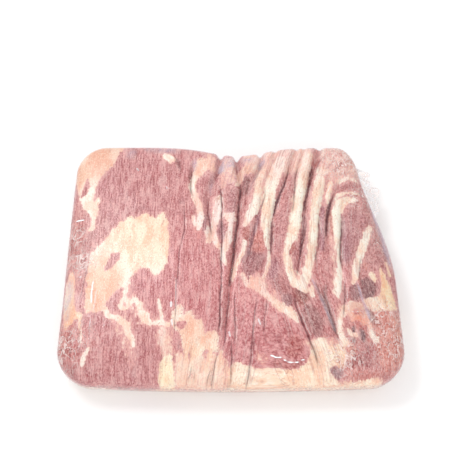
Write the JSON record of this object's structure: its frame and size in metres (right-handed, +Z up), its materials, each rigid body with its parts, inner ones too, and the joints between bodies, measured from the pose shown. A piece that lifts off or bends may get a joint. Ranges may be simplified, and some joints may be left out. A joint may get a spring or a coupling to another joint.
{
  "type": "pork belly slab",
  "caption": "Raw boneless pork belly slab, rib side up, streaked with fat and lean, wrapped tightly in clear creased film.",
  "frame": {"origin": "centre of the slab's outline on the surface it lies on", "axes": "+X along the long side to the ribbed half, +Y from the front edge to the back edge where the rib marks start, +Z up out of the rib side"},
  "size_m": [0.3496, 0.2796, 0.0556],
  "materials": {
    "pork": "moist raw pork, pink lean fibres and cream fat, seen through clear glossy film",
    "film": "clear glossy polythene film, tight over the meat, with fine creases and gathered folds"
  },
  "bodies": {
    "root": {"pork_belly_slab": "pork"}
  },
  "joints": []
}
